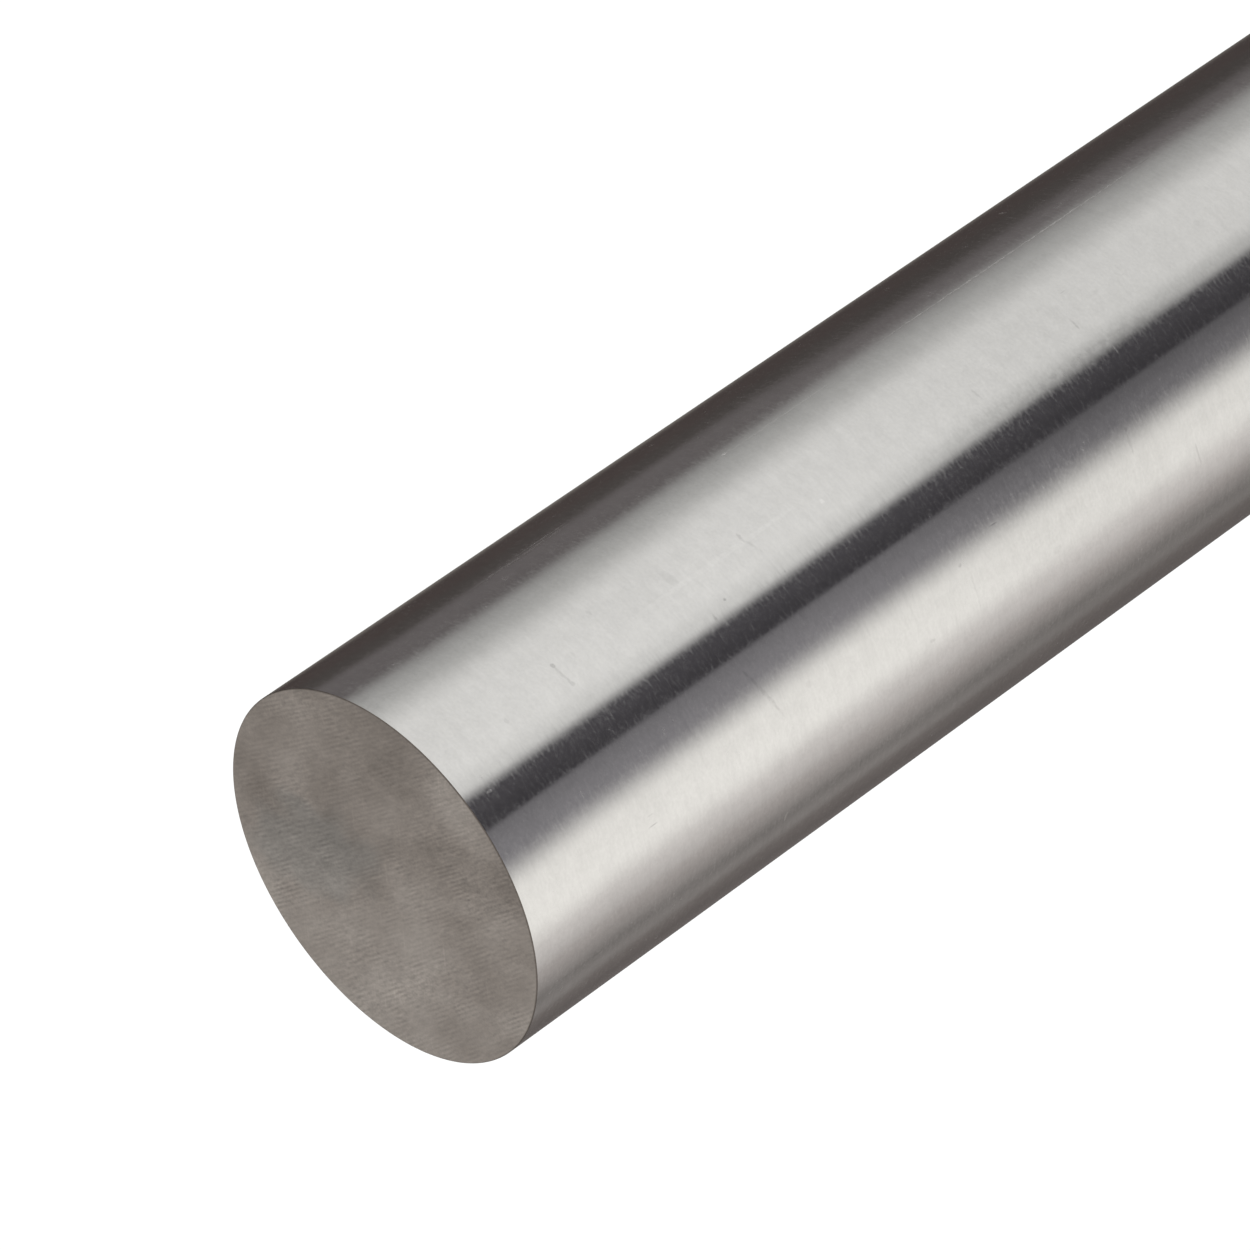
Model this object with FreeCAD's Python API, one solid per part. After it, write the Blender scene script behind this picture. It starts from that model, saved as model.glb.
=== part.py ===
import FreeCAD, Part

import math
import os

# Round steel bar: one length of bright stock, sawn square at both ends.
# It stands on one sawn end, with the origin at the centre of that end and its axis along +Z.
# All sizes are in millimetres.

# Driving dimensions
BAR_DIAMETER = 50.8
BAR_LENGTH = 304.8
EDGE_RADIUS = 0.15  # the rims of the sawn ends, just broken so that they carry no burr

# Sizes that follow from them
BAR_RADIUS = BAR_DIAMETER / 2
FACE_RADIUS = BAR_RADIUS - EDGE_RADIUS  # the flat of a sawn end, inside its rim
FOOT_LEVEL = 0
TOP_LEVEL = BAR_LENGTH

BAR_AXIS = FreeCAD.Vector(0, 0, 1)
FULL_TURN = 360  # degrees


def section_point(outwards, height):
    """A point of the half section: a distance out from the bar's axis, and a height above its foot."""
    return FreeCAD.Vector(outwards, 0, height)


def broken_rim(end_level, inwards):
    """The small quarter round from an end face to the side; inwards is the way into the bar, +1 or -1."""
    centre_level = end_level + inwards * EDGE_RADIUS
    diagonal = EDGE_RADIUS * math.sqrt(0.5)
    on_face = section_point(FACE_RADIUS, end_level)
    halfway = section_point(FACE_RADIUS + diagonal, centre_level - inwards * diagonal)
    on_side = section_point(BAR_RADIUS, centre_level)
    return Part.Arc(on_face, halfway, on_side).toShape()


def half_section():
    """The flat shape between the bar's axis and its side, with a broken rim at each sawn end."""
    foot_centre = section_point(0, FOOT_LEVEL)
    top_centre = section_point(0, TOP_LEVEL)
    outline = [
        Part.makeLine(foot_centre, section_point(FACE_RADIUS, FOOT_LEVEL)),
        broken_rim(FOOT_LEVEL, 1),
        Part.makeLine(
            section_point(BAR_RADIUS, FOOT_LEVEL + EDGE_RADIUS),
            section_point(BAR_RADIUS, TOP_LEVEL - EDGE_RADIUS),
        ),
        broken_rim(TOP_LEVEL, -1),
        Part.makeLine(section_point(FACE_RADIUS, TOP_LEVEL), top_centre),
        Part.makeLine(top_centre, foot_centre),
    ]
    return Part.Face(Part.Wire(outline))


def round_bar():
    """The whole bar: its half section turned once round the axis."""
    return half_section().revolve(section_point(0, FOOT_LEVEL), BAR_AXIS, FULL_TURN)


os.makedirs("parts", exist_ok=True)
round_bar().exportStep("parts/round_bar.step")
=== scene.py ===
import math
from collections import namedtuple

import bmesh
import bpy
from bpy.props import FloatProperty, FloatVectorProperty, IntProperty, PointerProperty
from mathutils import Matrix, Vector, noise


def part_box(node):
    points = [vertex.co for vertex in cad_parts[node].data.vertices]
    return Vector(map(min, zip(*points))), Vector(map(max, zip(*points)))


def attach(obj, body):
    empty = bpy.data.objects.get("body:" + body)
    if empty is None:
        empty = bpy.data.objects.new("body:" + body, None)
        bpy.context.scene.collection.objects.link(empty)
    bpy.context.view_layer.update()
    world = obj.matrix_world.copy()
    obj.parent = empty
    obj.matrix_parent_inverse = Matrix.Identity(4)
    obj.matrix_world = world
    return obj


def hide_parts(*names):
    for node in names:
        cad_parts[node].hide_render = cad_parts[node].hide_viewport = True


# A round steel bar, ground bright along its side and sawn square at both ends. It stands on
# one sawn end on a pale floor, and its camera looks down on the other, turned on its side so
# that the bar runs across the picture. A ring of pale and dark cards round the bar, which only
# its reflections see, gives the ground side its bands. All lengths are in metres.

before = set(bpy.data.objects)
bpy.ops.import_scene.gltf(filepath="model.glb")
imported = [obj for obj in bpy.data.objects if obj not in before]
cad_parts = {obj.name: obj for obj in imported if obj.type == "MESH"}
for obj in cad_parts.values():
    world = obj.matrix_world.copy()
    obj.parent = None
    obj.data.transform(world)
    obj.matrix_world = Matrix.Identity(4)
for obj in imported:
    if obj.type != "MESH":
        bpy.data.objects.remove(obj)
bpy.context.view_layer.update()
NODE = "round_bar"
NODE_LOW, NODE_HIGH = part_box(NODE)
BODY = "root"

bl_info = {
    "name": "Round Steel Bar",
    "version": (1, 0, 0),
    "blender": (4, 5, 0),
    "location": "3D View > Sidebar > Steel Bar",
    "description": "A ground steel bar with sawn ends, and the studio that shows it",
    "category": "Add Mesh",
}


class BarShape(bpy.types.PropertyGroup):
    """The bar's sizes."""

    radius: FloatProperty(
        name="Radius",
        description="From the bar's axis to its ground side",
        default=(NODE_HIGH.x - NODE_LOW.x) / 2,
        unit="LENGTH",
    )
    foot: FloatProperty(
        name="Foot",
        description="Height of the lower sawn end",
        default=NODE_LOW.z,
        unit="LENGTH",
    )
    top: FloatProperty(
        name="Top",
        description="Height of the upper sawn end",
        default=NODE_HIGH.z,
        unit="LENGTH",
    )
    rim: FloatProperty(
        name="Rim",
        description="Radius of the broken edge round each sawn end",
        default=0.00015,
        precision=5,
        unit="LENGTH",
    )
    round_steps: IntProperty(
        name="Round Steps",
        description="Faces in one turn round the bar",
        default=288,
    )
    rim_steps: IntProperty(
        name="Rim Steps",
        description="Faces across the broken edge",
        default=5,
    )
    side_rings: IntProperty(
        name="Side Rings",
        description="Faces along the ground side",
        default=24,
    )


class SawMarks(bpy.types.PropertyGroup):
    """The fine lines that the saw left across both ends."""

    pitch: FloatProperty(
        name="Pitch",
        description="Distance from one saw line to the next",
        default=0.00055,
        precision=5,
        unit="LENGTH",
    )
    depth: FloatProperty(
        name="Depth",
        description="Depth of the deepest saw line",
        default=0.00002,
        precision=6,
        unit="LENGTH",
    )
    heading: FloatProperty(
        name="Heading",
        description="Direction across the saw lines, from +X towards +Y",
        default=math.radians(-8.9),
        subtype="ANGLE",
    )
    fan: FloatProperty(
        name="Fan",
        description="How much the saw lines draw together along their length, as a share a metre",
        default=-2.65,
    )
    cuts_per_line: IntProperty(
        name="Cuts per Line",
        description="Strips of faces that shape one saw line",
        default=4,
    )
    block: FloatProperty(
        name="Block",
        description="Length of a face along the saw lines",
        default=0.0006,
        precision=4,
        unit="LENGTH",
    )


class BarFinish(bpy.types.PropertyGroup):
    """The colours and gloss of the two finishes."""

    ground_colour: FloatVectorProperty(
        name="Ground Side",
        description="Colour of the ground steel",
        default=(0.73, 0.72, 0.695),
        subtype="COLOR",
    )
    ground_roughness: FloatProperty(
        name="Ground Roughness",
        description="How far the ground side blurs what it mirrors",
        default=0.125,
        subtype="FACTOR",
    )
    sawn_colour: FloatVectorProperty(
        name="Sawn End",
        description="Colour of the sawn steel",
        default=(0.241, 0.2145, 0.19),
        subtype="COLOR",
    )
    stain_colour: FloatVectorProperty(
        name="Stain",
        description="Colour of the sawn steel where the coolant dried on it",
        default=(0.232, 0.2155, 0.196),
        subtype="COLOR",
    )
    sawn_roughness: FloatProperty(
        name="Sawn Roughness",
        description="How far the sawn ends blur what they mirror",
        default=0.5,
        subtype="FACTOR",
    )


class Studio(bpy.types.PropertyGroup):
    """The camera, the light and the floor."""

    lens: FloatProperty(
        name="Lens",
        description="The camera's focal length in millimetres, on a 36 mm sensor",
        default=216.65,
        unit="CAMERA",
    )
    elevation: FloatProperty(
        name="Elevation",
        description="How far the camera looks down from the horizon",
        default=math.radians(32.61),
        subtype="ANGLE",
    )
    roll: FloatProperty(
        name="Roll",
        description="How far the camera is turned about the line that it looks along",
        default=math.radians(-124.64),
        subtype="ANGLE",
    )
    face_place: FloatVectorProperty(
        name="Face Place",
        description="Where the top end's centre is from the camera: to its right, up and ahead",
        default=(-0.02853, -0.02974, 0.88496),
        precision=4,
        subtype="XYZ",
    )
    floor_radius: FloatProperty(
        name="Floor Radius",
        description="Radius of the round floor",
        default=6.0,
        unit="LENGTH",
    )
    ring_radius: FloatProperty(
        name="Card Ring Radius",
        description="From the bar's axis to the cards that it mirrors",
        default=0.145,
        unit="LENGTH",
    )
    ring_height: FloatProperty(
        name="Card Ring Height",
        description="Height of the cards above the floor",
        default=0.335,
        unit="LENGTH",
    )
    ring_columns: IntProperty(
        name="Card Ring Columns",
        description="Faces in one turn of the ring of cards",
        default=720,
    )
    ring_rows: IntProperty(
        name="Card Ring Rows",
        description="Faces up the ring of cards",
        default=28,
    )
    floor_rows: IntProperty(
        name="Card Floor Rows",
        description="Faces across the cards that lie on the floor",
        default=12,
    )


def new_node(tree, kind, settings=None, values=None):
    """A new shader node, with its settings and the values of the sockets that nothing feeds."""
    node = tree.nodes.new(kind)
    for name, value in (settings or {}).items():
        setattr(node, name, value)
    for socket, value in (values or {}).items():
        node.inputs[socket].default_value = value
    return node


def new_material(name):
    """An empty node material with its output, returned with its tree."""
    material = bpy.data.materials.new(name)
    material.use_nodes = True
    tree = material.node_tree
    tree.nodes.clear()
    output = new_node(tree, "ShaderNodeOutputMaterial")
    return material, tree, output


def finished_object(name, mesh_maker, materials):
    """The mesh as an object of the scene, at the origin, with its materials."""
    mesh = bpy.data.meshes.new(name)
    mesh_maker.to_mesh(mesh)
    mesh_maker.free()
    for material in materials:
        mesh.materials.append(material)
    thing = bpy.data.objects.new(name, mesh)
    bpy.context.scene.collection.objects.link(thing)
    return thing


def stretched_noise(tree, place, scale, detail=2.0, roughness=0.5):
    """Noise whose features are stretched: a scale along each axis, in features a metre."""
    mapping = new_node(tree, "ShaderNodeMapping", values={"Scale": scale})
    texture = new_node(
        tree,
        "ShaderNodeTexNoise",
        values={"Scale": 1.0, "Detail": detail, "Roughness": roughness},
    )
    tree.links.new(place, mapping.inputs["Vector"])
    tree.links.new(mapping.outputs["Vector"], texture.inputs["Vector"])
    return texture.outputs["Fac"]


def ranged(tree, value, low, high, to_low, to_high):
    """The value, moved from one range to another and held at its ends."""
    node = new_node(
        tree,
        "ShaderNodeMapRange",
        values={"From Min": low, "From Max": high, "To Min": to_low, "To Max": to_high},
    )
    tree.links.new(value, node.inputs["Value"])
    return node.outputs["Result"]


NOISE_LOW, NOISE_HIGH = 0.3, 0.7  # the range that most of a noise texture lies in


def spread(tree, texture, to_low, to_high):
    """A noise texture whose usual range is moved to another one."""
    return ranged(tree, texture, NOISE_LOW, NOISE_HIGH, to_low, to_high)


def added(tree, first, second, operation="ADD"):
    """Two values joined by one operation, a sum where no other is named."""
    node = new_node(tree, "ShaderNodeMath", {"operation": operation})
    tree.links.new(first, node.inputs[0])
    tree.links.new(second, node.inputs[1])
    return node.outputs["Value"]


def sparse_marks(tree, place, scale, size, share):
    """Separate small marks: 1 on a mark and 0 elsewhere. Scale is in cells a metre along each axis,
    size is a mark's half width in cells, and share is how many of the cells hold one."""
    mapping = new_node(tree, "ShaderNodeMapping", values={"Scale": scale})
    cells = new_node(tree, "ShaderNodeTexVoronoi", values={"Scale": 1.0})
    random = new_node(tree, "ShaderNodeSeparateColor")
    chosen = new_node(tree, "ShaderNodeMath", {"operation": "LESS_THAN"}, {1: share})
    near = new_node(
        tree,
        "ShaderNodeMapRange",
        {"interpolation_type": "SMOOTHSTEP"},
        {"From Min": size, "From Max": size / 2, "To Min": 0.0, "To Max": 1.0},
    )
    both = new_node(tree, "ShaderNodeMath", {"operation": "MULTIPLY"})
    tree.links.new(place, mapping.inputs["Vector"])
    tree.links.new(mapping.outputs["Vector"], cells.inputs["Vector"])
    tree.links.new(cells.outputs["Color"], random.inputs["Color"])
    tree.links.new(random.outputs["Red"], chosen.inputs[0])
    tree.links.new(cells.outputs["Distance"], near.inputs["Value"])
    tree.links.new(chosen.outputs["Value"], both.inputs[0])
    tree.links.new(near.outputs["Result"], both.inputs[1])
    return both.outputs["Value"]


def rare_marks(tree, place, scale, low, high):
    """Uneven marks where stretched noise is at its highest: they fade in from low to high."""
    noise_value = stretched_noise(tree, place, scale, detail=1.0)
    return ranged(tree, noise_value, low, high, 0.0, 1.0)


def tinted(tree, share, colour, other):
    """A colour that goes from one tone to another with the share."""
    mix = new_node(
        tree,
        "ShaderNodeMix",
        {"data_type": "RGBA"},
        {"A": (*colour, 1.0), "B": (*other, 1.0)},
    )
    tree.links.new(share, mix.inputs["Factor"])
    return mix.outputs["Result"]


def mixed(tree, share, socket, colour):
    """The colour that a socket gives, which goes over to another colour with the share."""
    mix = new_node(tree, "ShaderNodeMix", {"data_type": "RGBA"}, {"B": (*colour, 1.0)})
    tree.links.new(share, mix.inputs["Factor"])
    tree.links.new(socket, mix.inputs["A"])
    return mix.outputs["Result"]


def scaled_colour(colour, factor):
    """The colour, made lighter or darker."""
    return tuple(part * factor for part in colour)


def tinged(colour, tint):
    """The colour, with each of its parts made stronger or weaker."""
    return tuple(part * factor for part, factor in zip(colour, tint))


# Small marks of handling on the ground side that have a place of their own. Each has an azimuth
# in degrees, from -Y towards +X, a distance down from the top end, a size around the bar and along
# it, a lean in degrees and a strength. Dull marks are darker than the steel round them. Bright ones
# are fresh scratches with a painted glint: their lighter colour is a painted highlight, and they
# also have real roughness and a sunk bump.
Mark = namedtuple("Mark", "azimuth down around along lean strength")
DULL_MARKS = (
    Mark(21.0, 0.0213, 0.0009, 0.0006, 0, 0.9),
    Mark(17.4, 0.0214, 0.0042, 0.0005, -4, 0.55),
    Mark(20.2, 0.0245, 0.0012, 0.0005, 0, 0.3),
    Mark(15.8, 0.0114, 0.0010, 0.0006, 0, 0.3),
    Mark(27.7, 0.0304, 0.0010, 0.0005, 0, 0.4),
    Mark(22.5, 0.0417, 0.0030, 0.0017, -12, 0.35),
    Mark(6.2, 0.0427, 0.0016, 0.0004, 0, 0.6),
    Mark(20.6, 0.0531, 0.0022, 0.0006, 0, 0.6),
    Mark(16.8, 0.0536, 0.0034, 0.0005, -18, 0.45),
    Mark(6.8, 0.0545, 0.0013, 0.0005, 0, 0.6),
    Mark(45.9, 0.0608, 0.0005, 0.0008, 0, 0.7),
    Mark(16.3, 0.0930, 0.0018, 0.0005, -10, 0.45),
    Mark(16.4, 0.1113, 0.0019, 0.0005, 0, 0.8),
    Mark(40.3, 0.1171, 0.0008, 0.0007, 0, 0.8),
    Mark(-17.0, 0.0430, 0.0100, 0.0006, -20, 0.55),
    Mark(-20.2, 0.0769, 0.0007, 0.0007, 0, 0.8),
    Mark(13.9, 0.0216, 0.0010, 0.0007, 0, 0.5),
    Mark(17.8, 0.0026, 0.0012, 0.0006, 0, 0.3),
    Mark(21.1, 0.1165, 0.0008, 0.0030, 0, 0.25),
    Mark(20.7, 0.1362, 0.0010, 0.0012, 0, 0.3),
    Mark(6.6, 0.1105, 0.0026, 0.0330, 0, 0.7),
    Mark(-15.9, 0.1085, 0.0007, 0.0006, 0, 0.7),
    Mark(-20.0, 0.1082, 0.0034, 0.0005, 5, 0.4),
    Mark(-33.9, 0.0922, 0.0014, 0.0016, 0, 0.35),
    Mark(-34.4, 0.0694, 0.0006, 0.0012, 0, 0.4),
    Mark(-27.0, 0.0780, 0.0080, 0.0004, 0, 0.25),
    Mark(-22.9, 0.0496, 0.0012, 0.0014, 0, 0.25),
    Mark(-57.8, 0.0080, 0.0007, 0.0110, 0, 0.35),
    Mark(-62.1, 0.0263, 0.0012, 0.0028, 0, 0.3),
)
# Scratches with a painted glint: their lighter colour is a painted highlight.
GLINT_PAINTED_SCRATCHES = (
    Mark(46.3, 0.0623, 0.0004, 0.0014, 0, 1.0),
    Mark(46.0, 0.0710, 0.0003, 0.0240, 0, 0.3),
    Mark(48.6, 0.1150, 0.0003, 0.0560, 0, 0.7),
    Mark(28.2, 0.0928, 0.0009, 0.0005, 0, 0.3),
    Mark(46.6, 0.0632, 0.0003, 0.0007, 0, 0.7),
    Mark(60.0, 0.0330, 0.0006, 0.0200, 0, 0.6),
    Mark(61.4, 0.0370, 0.0003, 0.0110, 0, 0.6),
    Mark(3.2, 0.0036, 0.0006, 0.0009, 0, 0.35),
    Mark(55.0, 0.0290, 0.0014, 0.0030, 0, 0.25),
    Mark(54.2, 0.1023, 0.0019, 0.0024, 0, 0.25),
    Mark(54.6, 0.1260, 0.0016, 0.0080, 0, 0.15),
    Mark(70.1, 0.1235, 0.0016, 0.0007, 0, 0.8),
    Mark(72.3, 0.1257, 0.0012, 0.0006, 0, 0.4),
    Mark(72.2, 0.1028, 0.0019, 0.0008, 0, 0.7),
    Mark(73.6, 0.0611, 0.0014, 0.0007, 0, 0.6),
    Mark(-57.5, 0.0425, 0.0017, 0.0005, 10, 0.5),
    Mark(16.1, 0.0653, 0.0008, 0.0007, 0, 0.4),
    Mark(19.3, 0.0490, 0.0008, 0.0340, 0, 0.15),
)
MARK_REACH = 0.004  # how deep a mark's place goes, well short of the bar's other side
MARK_WAVER = 0.0005  # how far noise moves a mark's edge
WAVER_SCALE = 1600.0  # the features of that noise, a metre
MARK_CORE = 0.6  # the share of a mark's reach where it starts to fade
WEAR_SCALE = (1000.0, 1000.0, 1000.0)  # the features a metre of the noise that wears marks away
MOST_WORN, UNWORN = 0.38, 0.58  # that noise where a mark is worn most, and where it isn't
WORN_STRENGTH = 0.3  # what is left of a mark where it is worn most


def placed_mark(tree, place, mark, shape):
    """One mark at its own place on the ground side: its strength in its middle, and 0 outside."""
    angle = math.radians(mark.azimuth)
    middle = (
        shape.radius * math.sin(angle),
        -shape.radius * math.cos(angle),
        shape.top - mark.down,
    )
    local = new_node(
        tree,
        "ShaderNodeMapping",
        {"vector_type": "TEXTURE"},
        {
            "Location": middle,
            "Rotation": (0.0, math.radians(mark.lean), angle),
            "Scale": (mark.around / 2, MARK_REACH, mark.along / 2),
        },
    )
    away = new_node(tree, "ShaderNodeVectorMath", {"operation": "LENGTH"})
    tree.links.new(place, local.inputs["Vector"])
    tree.links.new(local.outputs["Vector"], away.inputs[0])
    return ranged(tree, away.outputs["Value"], 1.0, MARK_CORE, 0.0, mark.strength)


def wavering_place(tree, place):
    """The place moved about by fine noise, so that a mark's edge is uneven."""
    texture = new_node(
        tree, "ShaderNodeTexNoise", values={"Scale": WAVER_SCALE, "Detail": 2.0}
    )
    centred = new_node(
        tree, "ShaderNodeVectorMath", {"operation": "SUBTRACT"}, {1: (0.5, 0.5, 0.5)}
    )
    moved = new_node(
        tree,
        "ShaderNodeVectorMath",
        {"operation": "MULTIPLY_ADD"},
        {1: (MARK_WAVER, MARK_WAVER, MARK_WAVER)},
    )
    tree.links.new(place, texture.inputs["Vector"])
    tree.links.new(texture.outputs["Color"], centred.inputs[0])
    tree.links.new(centred.outputs["Vector"], moved.inputs[0])
    tree.links.new(place, moved.inputs[2])
    return moved.outputs["Vector"]


def placed_marks(tree, place, marks, shape):
    """Marks with a place of their own, with uneven edges and a strength that comes and goes."""
    uneven = wavering_place(tree, place)
    first, *others = marks
    share = placed_mark(tree, uneven, first, shape)
    for mark in others:
        share = added(tree, share, placed_mark(tree, uneven, mark, shape), "MAXIMUM")
    wear = stretched_noise(tree, place, WEAR_SCALE, detail=2.0)
    left = ranged(tree, wear, MOST_WORN, UNWORN, WORN_STRENGTH, 1.0)
    return added(tree, share, left, "MULTIPLY")


# How the ground side varies. Tones are shares of its colour, which goes from the darkest to the
# lightest as its textures add up, each by its own share. Blurs are how far a texture moves its
# roughness either way, or what a mark adds to it.
DARKEST_TONE, LIGHTEST_TONE = 0.9, 1.085
# The bright marks' lighter tone is a painted glint.
DULL_MARK_TONE, PAINTED_GLINT_TONE = 0.76, 1.35
HAZE_SHARE, BAND_SHARE, BLOTCH_SHARE, GRAIN_SHARE = 0.2, 0.22, 0.25, 0.33
HAZE_BLUR, LAY_BLUR, GRAIN_BLUR = 0.022, 0.045, 0.045
DULL_MARK_BLUR, BRIGHT_MARK_BLUR, DEEPER_LAY_BLUR = 0.07, 0.3, 0.125


def ground_steel(finish, shape):
    """Steel ground bright: a fine lay round the bar, a faint haze and a few marks, the bright ones
    with a painted glint.
    """
    material, tree, output = new_material("ground_steel")
    place = new_node(tree, "ShaderNodeTexCoord").outputs["Object"]
    lay = stretched_noise(tree, place, (300.0, 300.0, 3600.0), detail=3.0)
    grain = stretched_noise(tree, place, (1900.0, 1900.0, 2600.0), detail=2.0)
    haze = stretched_noise(tree, place, (110.0, 110.0, 70.0), detail=4.0)
    bands = stretched_noise(tree, place, (240.0, 240.0, 1300.0), detail=2.0)
    blotches = stretched_noise(tree, place, (480.0, 480.0, 480.0), detail=3.0)
    ticks = rare_marks(tree, place, (170.0, 170.0, 1050.0), low=0.785, high=0.88)
    scratches = rare_marks(tree, place, (1700.0, 1700.0, 210.0), low=0.79, high=0.84)
    specks = sparse_marks(tree, place, (500.0, 500.0, 500.0), size=0.14, share=0.004)
    deeper_lay = rare_marks(tree, place, (900.0, 900.0, 2300.0), low=0.42, high=0.9)

    steel_colour = finish.ground_colour
    tone = spread(tree, haze, 0.0, HAZE_SHARE)
    for texture, share in ((bands, BAND_SHARE), (blotches, BLOTCH_SHARE), (grain, GRAIN_SHARE)):
        tone = added(tree, tone, spread(tree, texture, 0.0, share))
    darkest = scaled_colour(steel_colour, DARKEST_TONE)
    lightest = scaled_colour(steel_colour, LIGHTEST_TONE)
    colour = tinted(tree, tone, darkest, lightest)
    scattered = added(tree, added(tree, ticks, specks), scratches)
    dull = added(tree, scattered, placed_marks(tree, place, DULL_MARKS, shape), "MAXIMUM")
    darkened = mixed(tree, dull, colour, scaled_colour(steel_colour, DULL_MARK_TONE))
    # Bright marks lighten the colour as a painted glint, and also add roughness and a sunk bump.
    bright = placed_marks(tree, place, GLINT_PAINTED_SCRATCHES, shape)
    glint_painted_colour = mixed(tree, bright, darkened, scaled_colour(steel_colour, PAINTED_GLINT_TONE))

    base = finish.ground_roughness
    soft = spread(tree, haze, base - HAZE_BLUR, base + HAZE_BLUR)
    fine = added(
        tree,
        spread(tree, lay, -LAY_BLUR, LAY_BLUR),
        spread(tree, grain, -GRAIN_BLUR, GRAIN_BLUR),
    )
    roughness = added(tree, soft, fine)
    blurs = (
        (dull, DULL_MARK_BLUR),
        (bright, BRIGHT_MARK_BLUR),
        (deeper_lay, DEEPER_LAY_BLUR),
    )
    for texture, blur in blurs:
        roughness = added(tree, roughness, ranged(tree, texture, 0.0, 1.0, 0.0, blur))

    # The lay is a faint ripple. Scattered and bright marks are sunk in it, and placed dull ones
    # are flat.
    lay_bump = new_node(tree, "ShaderNodeBump", values={"Strength": 0.2, "Distance": 0.000002})
    mark_bump = new_node(
        tree, "ShaderNodeBump", {"invert": True}, {"Strength": 0.4, "Distance": 0.00001}
    )
    tree.links.new(lay, lay_bump.inputs["Height"])
    tree.links.new(added(tree, scattered, bright), mark_bump.inputs["Height"])
    tree.links.new(lay_bump.outputs["Normal"], mark_bump.inputs["Normal"])

    around = new_node(tree, "ShaderNodeTangent", {"direction_type": "RADIAL", "axis": "Z"})
    steel = new_node(
        tree,
        "ShaderNodeBsdfPrincipled",
        values={"Metallic": 1.0, "Anisotropic": 0.75, "Anisotropic Rotation": 0.25},
    )
    tree.links.new(glint_painted_colour, steel.inputs["Base Color"])
    tree.links.new(roughness, steel.inputs["Roughness"])
    tree.links.new(mark_bump.outputs["Normal"], steel.inputs["Normal"])
    tree.links.new(around.outputs["Tangent"], steel.inputs["Tangent"])
    tree.links.new(steel.outputs["BSDF"], output.inputs["Surface"])
    return material


def fanned_place(tree, place, fan):
    """The place on an end, with its part across the saw lines changed as the lines fan out."""
    parts = new_node(tree, "ShaderNodeSeparateXYZ")
    share = new_node(tree, "ShaderNodeMath", {"operation": "MULTIPLY_ADD"}, {1: fan, 2: 1.0})
    joined = new_node(tree, "ShaderNodeCombineXYZ")
    tree.links.new(place, parts.inputs["Vector"])
    tree.links.new(parts.outputs["Y"], share.inputs[0])
    across = added(tree, parts.outputs["X"], share.outputs["Value"], "MULTIPLY")
    tree.links.new(across, joined.inputs["X"])
    tree.links.new(parts.outputs["Y"], joined.inputs["Y"])
    tree.links.new(parts.outputs["Z"], joined.inputs["Z"])
    return joined.outputs["Vector"]


# How the sawn finish varies. Tones are added to 1, and the sum multiplies the colour.
CROSS_SCRATCH_TURN = math.radians(-52)  # from the saw lines to the few scratches across them
# The saw lines' tone is painted shade in their hollows and painted light on their crests, over the
# real relief.
PAINTED_LINE_SHADING = 0.155  # darker at the bottom of a saw line, and lighter between two
STREAK_TONE, RIB_TONE, SAWN_GRAIN_TONE = 0.17, 0.035, 0.12
STREAK_LOW, STREAK_HIGH = 0.2, 0.8  # the range of noise that these three tones are reached over
# The painted glint of scratches and specks on the sawn ends: how much lighter they make the colour.
GLINT_TONE = 0.1
FAINT_REGION, STRONG_REGION = 0.7, 1.3  # how strong lines and streaks are from place to place
DARK_PATCH, LIGHT_PATCH = 0.75, 1.25  # the tones between which a patch goes from warm to cool
WARM_TINT, COOL_TINT = (1.025, 1.0, 0.985), (0.99, 1.0, 1.01)
SAWN_BLUR = 0.04  # how far the streaks change the roughness


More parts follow.
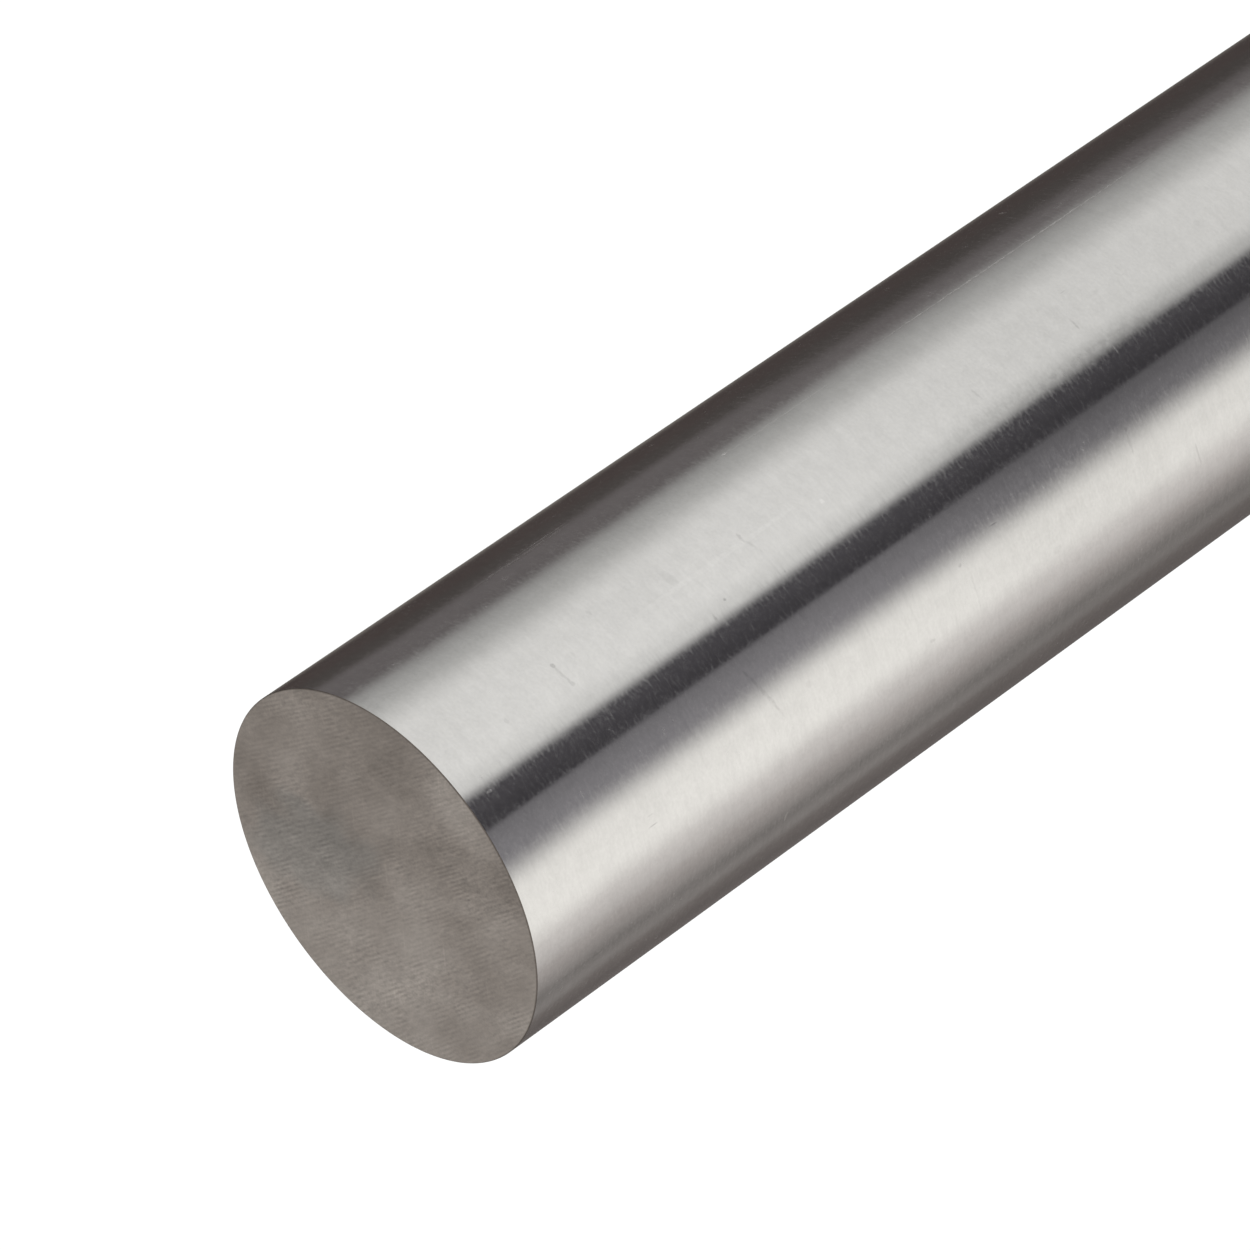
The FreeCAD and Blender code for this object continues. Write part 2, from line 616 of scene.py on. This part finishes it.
def sawn_steel(finish, marks):
    """Steel as the saw left it: dull, patchy and streaked along the cut, with one dried stain,
    painted shade in its saw lines and painted glints.
    """
    material, tree, output = new_material("sawn_steel")
    coordinates = new_node(tree, "ShaderNodeTexCoord").outputs["Object"]
    turned = new_node(
        tree, "ShaderNodeMapping", values={"Rotation": (0.0, 0.0, -marks.heading)}
    )
    tree.links.new(coordinates, turned.inputs["Vector"])
    place = turned.outputs["Vector"]
    fanned = fanned_place(tree, place, marks.fan)
    streaks = stretched_noise(tree, fanned, (2700.0, 850.0, 850.0), detail=2.0)
    ribs = stretched_noise(tree, fanned, (800.0, 350.0, 350.0), detail=1.0)
    grain = stretched_noise(tree, place, (3800.0, 3000.0, 3000.0), detail=2.0)
    region = stretched_noise(tree, place, (150.0, 90.0, 90.0), detail=1.0)
    crossed = new_node(
        tree, "ShaderNodeMapping", values={"Rotation": (0.0, 0.0, CROSS_SCRATCH_TURN)}
    )
    tree.links.new(place, crossed.inputs["Vector"])
    scratches = rare_marks(
        tree, crossed.outputs["Vector"], (2400.0, 110.0, 110.0), low=0.66, high=0.76
    )
    specks = sparse_marks(tree, place, (450.0, 450.0, 450.0), size=0.13, share=0.12)
    line = new_node(tree, "ShaderNodeAttribute", {"attribute_name": "saw_line"}).outputs["Fac"]
    patch = new_node(tree, "ShaderNodeAttribute", {"attribute_name": "patch"}).outputs["Fac"]
    stain = new_node(tree, "ShaderNodeAttribute", {"attribute_name": "stain"}).outputs["Fac"]

    clean = tinted(
        tree,
        ranged(tree, patch, DARK_PATCH, LIGHT_PATCH, 0.0, 1.0),
        tinged(finish.sawn_colour, WARM_TINT),
        tinged(finish.sawn_colour, COOL_TINT),
    )
    colour = mixed(tree, stain, clean, finish.stain_colour)
    # Painted shade where a saw line is deep, and painted light where it is shallow.
    cut = ranged(tree, line, 0.0, 1.0, PAINTED_LINE_SHADING, -PAINTED_LINE_SHADING)
    for texture, tone in ((streaks, STREAK_TONE), (ribs, RIB_TONE), (grain, SAWN_GRAIN_TONE)):
        lighter = ranged(tree, texture, STREAK_LOW, STREAK_HIGH, -tone, tone)
        cut = added(tree, cut, lighter)
    cut = added(tree, cut, spread(tree, region, FAINT_REGION, STRONG_REGION), "MULTIPLY")
    # Scratches and specks lighten the colour: a painted glint.
    glints = added(tree, scratches, specks, "MAXIMUM")
    cut = added(tree, cut, ranged(tree, glints, 0.0, 1.0, 1.0, 1.0 + GLINT_TONE))
    shaded = new_node(tree, "ShaderNodeVectorMath", {"operation": "SCALE"})
    tree.links.new(colour, shaded.inputs["Vector"])
    tree.links.new(added(tree, cut, patch, "MULTIPLY"), shaded.inputs["Scale"])

    base = finish.sawn_roughness
    roughness = spread(tree, streaks, base - SAWN_BLUR, base + SAWN_BLUR)
    bump = new_node(tree, "ShaderNodeBump", values={"Strength": 0.5, "Distance": 0.00001})
    tree.links.new(grain, bump.inputs["Height"])

    steel = new_node(tree, "ShaderNodeBsdfPrincipled", values={"Metallic": 1.0})
    tree.links.new(shaded.outputs["Vector"], steel.inputs["Base Color"])
    tree.links.new(roughness, steel.inputs["Roughness"])
    tree.links.new(bump.outputs["Normal"], steel.inputs["Normal"])
    tree.links.new(steel.outputs["BSDF"], output.inputs["Surface"])
    return material


SAWN = 1  # the sawn finish's place among the bar's materials, after the ground one
NO_WIDTH = 1e-7  # points nearer than this are one point


def quarter_round(shape, end, inwards):
    """Points of a rim, from the sawn end to the ground side; inwards is up at the foot."""
    points = []
    for step in range(shape.rim_steps + 1):
        angle = math.radians(90) * step / shape.rim_steps
        out = shape.radius - shape.rim + shape.rim * math.sin(angle)
        height = end + inwards * shape.rim * (1 - math.cos(angle))
        points.append(Vector((out, 0, height)))
    return points


def turned_side(mesh, shape):
    """The ground side and both rims, spun round the bar's axis from one line of points."""
    foot_rim = quarter_round(shape, shape.foot, 1)
    top_rim = quarter_round(shape, shape.top, -1)
    line = list(foot_rim)
    for ring in range(1, shape.side_rings):
        line.append(foot_rim[-1].lerp(top_rim[-1], ring / shape.side_rings))
    line += reversed(top_rim)
    corners = [mesh.verts.new(point) for point in line]
    edges = [mesh.edges.new(pair) for pair in zip(corners, corners[1:])]
    bmesh.ops.spin(
        mesh,
        geom=corners + edges,
        cent=(0, 0, 0),
        axis=(0, 0, 1),
        angle=math.radians(360),
        steps=shape.round_steps,
        use_merge=True,
    )
    bmesh.ops.remove_doubles(mesh, verts=mesh.verts, dist=NO_WIDTH)


def sawn_faces(mesh):
    """The faces of both sawn ends."""
    return [face for face in mesh.faces if face.material_index == SAWN]


def cut_ends(mesh, direction, spacing, reach):
    """Cuts both ends into strips of equal width, by planes across the direction."""
    count = round(2 * reach / spacing)
    for number in range(1, count):
        faces = sawn_faces(mesh)
        edges = {edge for face in faces for edge in face.edges}
        corners = {corner for face in faces for corner in face.verts}
        bmesh.ops.bisect_plane(
            mesh,
            geom=list(corners) + list(edges) + faces,
            dist=NO_WIDTH,
            plane_co=direction * (2 * reach * number / count - reach),
            plane_no=direction,
        )


def held(value, low, high):
    """The value, kept within a range."""
    return min(high, max(low, value))


def smooth_step(value, low, high):
    """0 below a range and 1 above it, with a smooth rise between."""
    share = held((value - low) / (high - low), 0.0, 1.0)
    return share * share * (3 - 2 * share)


def noise_at(x, y, scale_x, scale_y, offset):
    """Soft noise about 0 at a place, with so many features a metre in each direction."""
    return noise.noise(Vector((x * scale_x, y * scale_y, 0)) + Vector(offset))


# The noise that makes the saw lines uneven: its features a metre across the lines and along them,
# and its level, which sets one noise apart from another, at the top end and at the foot.
LineNoise = namedtuple("LineNoise", "across along top_level foot_level")
DRIFT = LineNoise(70, 18, 0, 7)
WOBBLE = LineNoise(420, 180, 2, 9)
FADING = LineNoise(300, 340, 3, 8)
STREAK = LineNoise(2300, 600, 9, 12)
DRIFT_SHIFT, WOBBLE_SHIFT = 0.9, 0.15  # how far each moves the lines, as a share of their pitch
USUAL_LINE, LINE_FADING, FAINTEST_LINE = 0.5, 1.2, 0.1  # how strong lines are, up to 1
MIDDLE_DEPTH, LINE_SHARE, STREAK_SHARE = 0.5, 0.36, 0.5  # lines and streaks add to the middle


def line_noise(kind, across, along, is_foot):
    """One of the saw lines' noises at a place on an end."""
    level = kind.foot_level if is_foot else kind.top_level
    return noise_at(across, along, kind.across, kind.along, (0, 0, level))


def saw_line_depth(across, along, marks, is_foot):
    """How deep the saw went at a place on an end, from 0 to 1: broken lines with uneven streaks."""
    fanned = across * (1 + marks.fan * along)
    drift = line_noise(DRIFT, across, along, is_foot)
    wobble = line_noise(WOBBLE, across, along, is_foot)
    fading = line_noise(FADING, across, along, is_foot)
    streak = line_noise(STREAK, fanned, along, is_foot)
    turns = fanned / marks.pitch + DRIFT_SHIFT * drift + WOBBLE_SHIFT * wobble
    strength = held(USUAL_LINE + LINE_FADING * fading, FAINTEST_LINE, 1.0)
    line = LINE_SHARE * math.cos(math.tau * turns) * strength
    return held(MIDDLE_DEPTH + line + STREAK_SHARE * streak, 0.0, 1.0)


# How the saw's finish varies over an end: it grows lighter towards one side, by a share a metre,
# and has soft patches in four sizes. Each size has its features a metre in two directions, an
# offset and a strength. The directions are X and Y where both numbers are the same, and otherwise
# they are across and along the saw lines.
TONE_SLOPE = Vector((-4.5, 5.1))
PATCHES = (
    (55.0, 55.0, (8.0, 31.3, 12.8), 0.32),
    (90.0, 90.0, (4.7, 26.3, 7.1), 0.15),
    (190.0, 110.0, (26.2, 2.8, 38.9), 0.17),
    (430.0, 190.0, (5.0, 9.0, 2.0), 0.12),
)
FOOT_SHIFT = 5  # added to the offset's last part on the foot, so that its patches are others
# Larger patches with a place of their own: a centre, half the length, half the width, the heading
# of the length in degrees, from +X towards +Y, and how much lighter each is in its middle.
Spot = namedtuple("Spot", "x y length width heading tone")
SPOTS = (
    Spot(0.002, -0.023, 0.0080, 0.0055, 170, 0.28),
    Spot(0.0095, -0.0155, 0.0055, 0.0045, 35, -0.15),
    Spot(0.0155, -0.004, 0.0125, 0.0045, 130, -0.12),
    Spot(-0.0245, 0.0015, 0.0200, 0.0055, 45, -0.15),
    Spot(-0.0095, 0.001, 0.0085, 0.0035, 45, 0.12),
    Spot(-0.0125, -0.0255, 0.0200, 0.0035, 65, -0.16),
    Spot(0.0035, 0.013, 0.0200, 0.0040, 80, 0.07),
)
STAIN_CENTRE = Vector((0.0077, 0.0094))
STAIN_HEADING = math.radians(68)
STAIN_LENGTH, STAIN_WIDTH = 0.0115, 0.0062  # from its centre to its edge
STAIN_SOLID, STAIN_END = 0.65, 1.3  # where it starts to fade and where it ends, as shares of those
STAIN_STRENGTH = 0.9
STAIN_RAGGEDNESS = 0.45  # how far noise moves its edge, as a share of its reach
STAIN_NOISE_SCALE, STAIN_NOISE_OFFSET = 230, (3, 1, 4)
RIM_TONE = 0.65  # the broken edge is darker than the rest
RIM_DEPTH = 0.5  # the depth of a saw line that its finish goes by


def reach_within(place, centre, heading, length, width):
    """How far a place is from the middle of an ellipse, where 1 is its edge."""
    away = place - centre
    lengthwise = Vector((math.cos(heading), math.sin(heading)))
    crosswise = Vector((-lengthwise.y, lengthwise.x))
    return math.hypot(away.dot(lengthwise) / length, away.dot(crosswise) / width)


def patch_tone(place, across, along, is_foot):
    """How light the sawn steel is at a place on an end, about 1."""
    tone = 1.0 + TONE_SLOPE.dot(place)
    for cross_scale, long_scale, offset, strength in PATCHES:
        is_round = cross_scale == long_scale
        first, second = (place.x, place.y) if is_round else (across, along)
        x, y, z = offset
        if is_foot:
            z += FOOT_SHIFT
        tone += strength * noise_at(first, second, cross_scale, long_scale, (x, y, z))
    for spot in SPOTS:
        centre = Vector((spot.x, spot.y))
        reach = reach_within(place, centre, math.radians(spot.heading), spot.length, spot.width)
        tone += spot.tone * smooth_step(1.0 - reach * reach, 0.0, 1.0)
    return tone


def stain_share(place):
    """How much of the dried stain lies at a place on an end."""
    reach = reach_within(place, STAIN_CENTRE, STAIN_HEADING, STAIN_LENGTH, STAIN_WIDTH)
    scale = STAIN_NOISE_SCALE
    waver = noise_at(place.x, place.y, scale, scale, STAIN_NOISE_OFFSET)
    ragged = reach + STAIN_RAGGEDNESS * waver
    return STAIN_STRENGTH * (1.0 - smooth_step(ragged, STAIN_SOLID, STAIN_END))


def saw_directions(marks):
    """Across the saw lines and along them, on either end."""
    across = Vector((math.cos(marks.heading), math.sin(marks.heading)))
    return across, Vector((-across.y, across.x))


def carve_saw_lines(mesh, shape, marks):
    """Sinks the points of both ends to the saw's depth, and paints what the finish reads there."""
    across, along = saw_directions(marks)
    line_layer = mesh.verts.layers.float.new("saw_line")
    patch_layer = mesh.verts.layers.float.new("patch")
    stain_layer = mesh.verts.layers.float.new("stain")
    for corner in mesh.verts:
        corner[line_layer] = RIM_DEPTH
        corner[patch_layer] = RIM_TONE
    corners = {corner for face in sawn_faces(mesh) for corner in face.verts}
    for corner in corners:
        is_foot = corner.co.z < (shape.foot + shape.top) / 2
        place = corner.co.xy
        cross, long = place.dot(across), place.dot(along)
        depth = saw_line_depth(cross, long, marks, is_foot)
        # The depth also sets the painted shade of the saw lines in the finish.
        corner[line_layer] = depth
        corner[patch_layer] = patch_tone(place, cross, long, is_foot)
        corner[stain_layer] = stain_share(place)
        corner.co.z += marks.depth * depth * (1 if is_foot else -1)


def dull_rims(mesh, shape):
    """Gives the broken edges the sawn finish."""
    side_low = shape.foot + shape.rim
    side_high = shape.top - shape.rim
    for face in mesh.faces:
        if not side_low < face.calc_center_median().z < side_high:
            face.material_index = SAWN


def make_bar(scene):
    """The bar: a turned side with sawn ends."""
    shape = scene.bar_shape
    marks = scene.bar_saw_marks
    mesh = bmesh.new()
    turned_side(mesh, shape)
    open_edges = [edge for edge in mesh.edges if edge.is_boundary]
    for face in bmesh.ops.holes_fill(mesh, edges=open_edges, sides=0)["faces"]:
        face.material_index = SAWN
    across, along = saw_directions(marks)
    cut_ends(mesh, across.to_3d(), marks.pitch / marks.cuts_per_line, shape.radius)
    cut_ends(mesh, along.to_3d(), marks.block, shape.radius)
    carve_saw_lines(mesh, shape, marks)
    dull_rims(mesh, shape)
    bmesh.ops.recalc_face_normals(mesh, faces=mesh.faces)
    for face in mesh.faces:
        face.smooth = True
    finish = scene.bar_finish
    materials = [ground_steel(finish, shape), sawn_steel(finish, marks)]
    bar = finished_object("steel_bar", mesh, materials)
    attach(bar, BODY)
    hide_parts(NODE)


# The ring of cards, from the bar's outline on the side of -X round to the one on the side of +X,
# as the camera sees it. The bar mirrors a card between two angles in degrees round its side,
# counted from -Y towards +X, and the card has a brightness at each. The near values hold close to
# the bar's top end and the far ones further down. From card to card the light changes smoothly.
# A tint holds the shares of red, green and blue in a card's brightness.
Card = namedtuple("Card", "tint near far")
NEUTRAL = (1.0, 1.0, 1.0)
COOL = (1.03, 1.0, 1.08)
VIOLET = (1.055, 1.0, 1.13)
MAUVE = (1.09, 1.0, 1.025)
WARM = (1.045, 1.0, 0.99)
CREAM = (1.012, 1.0, 0.98)
TAN = (1.08, 1.0, 0.91)
BROWN = (1.07, 1.0, 0.98)
RUST = (1.12, 1.0, 0.97)
DARK_BROWN = (1.23, 1.0, 0.97)
CARDS = (
    Card(NEUTRAL, (-90, -89, 0.26, 0.2), (-90, -89, 0.24, 0.18)),
    Card(RUST, (-84.5, -75, 0.142, 0.122), (-84.5, -75.5, 0.128, 0.12)),
    Card(RUST, (-69.5, -68, 0.147, 0.158), (-71, -68, 0.133, 0.143)),
    Card(BROWN, (-63.5, -58.5, 0.25, 0.205), (-63.5, -58.5, 0.22, 0.2)),
    Card(BROWN, (-53, -50, 0.335, 0.415), (-53, -50, 0.31, 0.41)),
    Card(WARM, (-44.5, -43, 0.6, 0.665), (-44.5, -43, 0.6, 0.665)),
    Card(CREAM, (-33, -23.4, 1.04, 0.985), (-33, -25, 0.965, 0.92)),
    Card(COOL, (-12.7, -6, 0.25, 0.2), (-12.8, -6.2, 0.19, 0.135)),
    Card(VIOLET, (-4.5, 2.7, 0.055, 0.078), (-4.5, 3.6, 0.05, 0.07)),
    Card(NEUTRAL, (6.8, 7.3, 0.775, 0.795), (7.1, 7.6, 0.54, 0.575)),
    Card(NEUTRAL, (12, 29.5, 0.91, 0.86), (13.3, 29.5, 0.795, 0.8)),
    Card(NEUTRAL, (43.5, 45.3, 0.455, 0.39), (43.3, 45, 0.47, 0.4)),
    Card(MAUVE, (51.4, 58.5, 0.138, 0.146), (53, 54.8, 0.153, 0.142)),
    Card(RUST, (63.5, 65.5, 0.074, 0.069), (62.5, 65, 0.068, 0.064)),
    Card(DARK_BROWN, (71, 77.5, 0.062, 0.056), (71, 78, 0.058, 0.055)),
    Card(TAN, (86, 90, 0.19, 0.4), (86.5, 90, 0.17, 0.36)),
)
BACK_LEVEL = 0.8  # the brightness of the ring straight behind the bar
NEAR_END, FAR_START = 0.074, 0.103  # down the bar, where near values give way to far ones
COVER_START, COVER_END = 0.027, 0.06  # from the axis, where the cards on the floor fade in
CARD_GAP = 0.0005  # from the floor up to the cards that lie on it


def shown_azimuth(angle, bar_radius, ring_radius):
    """The azimuth on the ring that the bar mirrors where its side is turned by this angle."""
    return 2 * angle - math.asin(bar_radius / ring_radius * math.sin(angle))


def card_stops(shape, studio, height, reach):
    """The azimuth and light of every card's edges, at a height and a reach from the axis."""
    drop = (studio.ring_radius - shape.radius) * math.tan(studio.elevation)
    share = smooth_step(shape.top - drop - height, NEAR_END, FAR_START)
    stops = []
    for card in CARDS:
        first, last, first_level, last_level = Vector(card.near).lerp(Vector(card.far), share)
        for angle, level in ((first, first_level), (last, last_level)):
            azimuth = shown_azimuth(math.radians(angle), shape.radius, reach)
            stops.append((azimuth, Vector(card.tint) * level))
    back = math.radians(180)
    back_light = Vector(NEUTRAL) * BACK_LEVEL
    return [(-back, back_light), *stops, (back, back_light)]


def card_light(azimuth, stops):
    """The light of the ring at an azimuth, from the stops on either side of it."""
    for (low, low_light), (high, high_light) in zip(stops, stops[1:]):
        if low <= azimuth <= high:
            return low_light.lerp(high_light, smooth_step(azimuth, low, high))
    return stops[-1][1]


def glowing_material(name, layer):
    """A surface that gives the light painted on it, and is clear where its alpha is 0."""
    material, tree, output = new_material(name)
    light = new_node(tree, "ShaderNodeAttribute", {"attribute_name": layer})
    glow = new_node(tree, "ShaderNodeEmission")
    clear = new_node(tree, "ShaderNodeBsdfTransparent")
    mix = new_node(tree, "ShaderNodeMixShader")
    tree.links.new(light.outputs["Color"], glow.inputs["Color"])
    tree.links.new(light.outputs["Alpha"], mix.inputs["Fac"])
    tree.links.new(clear.outputs["BSDF"], mix.inputs[1])
    tree.links.new(glow.outputs["Emission"], mix.inputs[2])
    tree.links.new(mix.outputs["Shader"], output.inputs["Surface"])
    material.cycles.emission_sampling = "NONE"
    return material


def make_card_ring(scene):
    """The ring of cards round the bar and on the floor inside it, which only reflections see."""
    shape = scene.bar_shape
    studio = scene.bar_studio
    mesh = bmesh.new()
    layer = mesh.verts.layers.float_color.new("light")
    low = shape.foot + CARD_GAP
    line = []
    for row in range(studio.ring_rows + 1):
        height = studio.ring_height + (low - studio.ring_height) * row / studio.ring_rows
        line.append((0, -studio.ring_radius, height))
    for row in range(1, studio.floor_rows + 1):
        reach = studio.ring_radius + (COVER_START - studio.ring_radius) * row / studio.floor_rows
        line.append((0, -reach, low))
    corners = [mesh.verts.new(point) for point in line]
    edges = [mesh.edges.new(pair) for pair in zip(corners, corners[1:])]
    bmesh.ops.spin(
        mesh,
        geom=corners + edges,
        cent=(0, 0, 0),
        axis=(0, 0, 1),
        angle=math.radians(360),
        steps=studio.ring_columns,
        use_merge=True,
    )
    stops = {}
    for corner in mesh.verts:
        reach = corner.co.xy.length
        key = (round(corner.co.z, 5), round(reach, 5))
        if key not in stops:
            stops[key] = card_stops(shape, studio, *key)
        azimuth = math.atan2(corner.co.x, -corner.co.y)
        cover = smooth_step(reach, COVER_START, COVER_END)
        corner[layer] = (*card_light(azimuth, stops[key]), cover)
    ring = finished_object("card_ring", mesh, [glowing_material("card_light", "light")])
    ring.visible_camera = False
    ring.visible_diffuse = False
    ring.visible_shadow = False


def seen_directly(tree):
    """1 for what the camera sees, straight or in a mirror or glass, and 0 for light on its way."""
    path = new_node(tree, "ShaderNodeLightPath")
    glossy = added(tree, path.outputs["Is Camera Ray"], path.outputs["Is Glossy Ray"])
    node = new_node(tree, "ShaderNodeMath", {"operation": "ADD", "use_clamp": True})
    tree.links.new(glossy, node.inputs[0])
    tree.links.new(path.outputs["Is Transmission Ray"], node.inputs[1])
    return node.outputs["Value"]


FLOOR_COLOUR = 0.78
FLOOR_GLOW = 0.3  # lifts the floor to white where it is seen, and leaves the shadow on it
FLOOR_STEPS = 96  # sides of the round floor


def floor_material():
    """A plain pale floor, lifted to white where it is seen."""
    material, tree, output = new_material("pale_floor")
    paint = new_node(
        tree,
        "ShaderNodeBsdfDiffuse",
        values={"Color": (FLOOR_COLOUR, FLOOR_COLOUR, FLOOR_COLOUR, 1.0)},
    )
    glow = new_node(tree, "ShaderNodeEmission")
    lift = new_node(tree, "ShaderNodeMath", {"operation": "MULTIPLY"}, {1: FLOOR_GLOW})
    both = new_node(tree, "ShaderNodeAddShader")
    tree.links.new(seen_directly(tree), lift.inputs[0])
    tree.links.new(lift.outputs["Value"], glow.inputs["Strength"])
    tree.links.new(paint.outputs["BSDF"], both.inputs[0])
    tree.links.new(glow.outputs["Emission"], both.inputs[1])
    tree.links.new(both.outputs["Shader"], output.inputs["Surface"])
    material.cycles.emission_sampling = "NONE"
    return material


def make_floor(scene):
    """A round floor under the bar's foot."""
    mesh = bmesh.new()
    bmesh.ops.create_circle(
        mesh, cap_ends=True, radius=scene.bar_studio.floor_radius, segments=FLOOR_STEPS
    )
    floor = finished_object("floor", mesh, [floor_material()])


WORLD_LEVEL = 0.55  # the soft light from all round


def make_world(scene):
    """Soft light from all round, and a white background for the camera and for reflections."""
    world = bpy.data.worlds.new("soft_room")
    scene.world = world
    world.use_nodes = True
    tree = world.node_tree
    tree.nodes.clear()
    output = new_node(tree, "ShaderNodeOutputWorld")
    white_paint = (1.0, 1.0, 1.0, 1.0)
    soft = new_node(
        tree, "ShaderNodeBackground", values={"Color": white_paint, "Strength": WORLD_LEVEL}
    )
    white = new_node(tree, "ShaderNodeBackground", values={"Color": white_paint, "Strength": 1.0})
    seen = new_node(tree, "ShaderNodeMixShader")
    tree.links.new(seen_directly(tree), seen.inputs["Fac"])
    tree.links.new(soft.outputs["Background"], seen.inputs[1])
    tree.links.new(white.outputs["Background"], seen.inputs[2])
    tree.links.new(seen.outputs["Shader"], output.inputs["Surface"])


SUN_PLACE = (0.35, -0.25, 1.8)  # it shines from there at the bar's foot
SUN_ANGLE = math.radians(30)  # how wide it looks, which softens the shadow
SUN_STRENGTH = 1.4


def make_lamp(scene):
    """One wide soft sun above the bar, for the floor's light and the bar's shadow on it."""
    data = bpy.data.lights.new("overhead_sun", "SUN")
    data.angle = SUN_ANGLE
    data.energy = SUN_STRENGTH
    lamp = bpy.data.objects.new("overhead_sun", data)
    lamp.location = SUN_PLACE
    lamp.rotation_euler = (-lamp.location).to_track_quat("-Z", "Y").to_euler()
    lamp.visible_camera = False
    lamp.visible_glossy = False
    scene.collection.objects.link(lamp)


SENSOR_WIDTH = 36.0  # in millimetres, as the lens is


def make_camera(scene):
    """The camera, turned on its side above the bar's top end."""
    studio = scene.bar_studio
    ahead = Vector((0, math.cos(studio.elevation), -math.sin(studio.elevation)))
    level_right = Vector((1, 0, 0))
    level_up = level_right.cross(ahead)
    right = math.cos(studio.roll) * level_right + math.sin(studio.roll) * level_up
    up = right.cross(ahead)
    face_right, face_up, face_ahead = studio.face_place
    face_centre = Vector((0, 0, scene.bar_shape.top))
    place = face_centre - right * face_right - up * face_up - ahead * face_ahead
    data = bpy.data.cameras.new("camera")
    data.sensor_width = SENSOR_WIDTH
    data.lens = studio.lens
    camera = bpy.data.objects.new("camera", data)
    turn = Matrix((right, up, -ahead)).transposed()
    camera.matrix_world = Matrix.Translation(place) @ turn.to_4x4()
    scene.collection.objects.link(camera)
    scene.camera = camera


class STEELBAR_OT_add_bar(bpy.types.Operator):
    """Add the round steel bar, standing on one sawn end"""

    bl_idname = "steelbar.add_bar"
    bl_label = "Round Bar"

    def execute(self, context):
        make_bar(context.scene)
        return {"FINISHED"}


class STEELBAR_OT_add_stage(bpy.types.Operator):
    """Add the floor, the ring of cards, the light and the camera"""

    bl_idname = "steelbar.add_stage"
    bl_label = "Studio"

    def execute(self, context):
        scene = context.scene
        make_floor(scene)
        make_card_ring(scene)
        make_world(scene)
        make_lamp(scene)
        make_camera(scene)
        scene.view_settings.view_transform = "Standard"
        return {"FINISHED"}


def list_settings(layout, group):
    """Lists a group's settings in the panel."""
    for name in group.bl_rna.properties.keys():
        if name not in ("rna_type", "name"):
            layout.prop(group, name)


class STEELBAR_PT_panel(bpy.types.Panel):
    """The bar's and the studio's settings, and the buttons that make them"""

    bl_idname = "STEELBAR_PT_panel"
    bl_label = "Steel Bar"
    bl_space_type = "VIEW_3D"
    bl_region_type = "UI"
    bl_category = "Steel Bar"

    def draw(self, context):
        scene = context.scene
        layout = self.layout
        for group in (scene.bar_shape, scene.bar_saw_marks, scene.bar_finish):
            list_settings(layout, group)
        layout.operator(STEELBAR_OT_add_bar.bl_idname)
        list_settings(layout, scene.bar_studio)
        layout.operator(STEELBAR_OT_add_stage.bl_idname)


CLASSES = (
    BarShape,
    SawMarks,
    BarFinish,
    Studio,
    STEELBAR_OT_add_bar,
    STEELBAR_OT_add_stage,
    STEELBAR_PT_panel,
)


def register():
    for kind in CLASSES:
        bpy.utils.register_class(kind)
    bpy.types.Scene.bar_shape = PointerProperty(type=BarShape)
    bpy.types.Scene.bar_saw_marks = PointerProperty(type=SawMarks)
    bpy.types.Scene.bar_finish = PointerProperty(type=BarFinish)
    bpy.types.Scene.bar_studio = PointerProperty(type=Studio)


def unregister():
    del bpy.types.Scene.bar_studio
    del bpy.types.Scene.bar_finish
    del bpy.types.Scene.bar_saw_marks
    del bpy.types.Scene.bar_shape
    for kind in reversed(CLASSES):
        bpy.utils.unregister_class(kind)


def main():
    register()
    bpy.ops.steelbar.add_bar()
    bpy.ops.steelbar.add_stage()


if __name__ == "__main__":
    main()
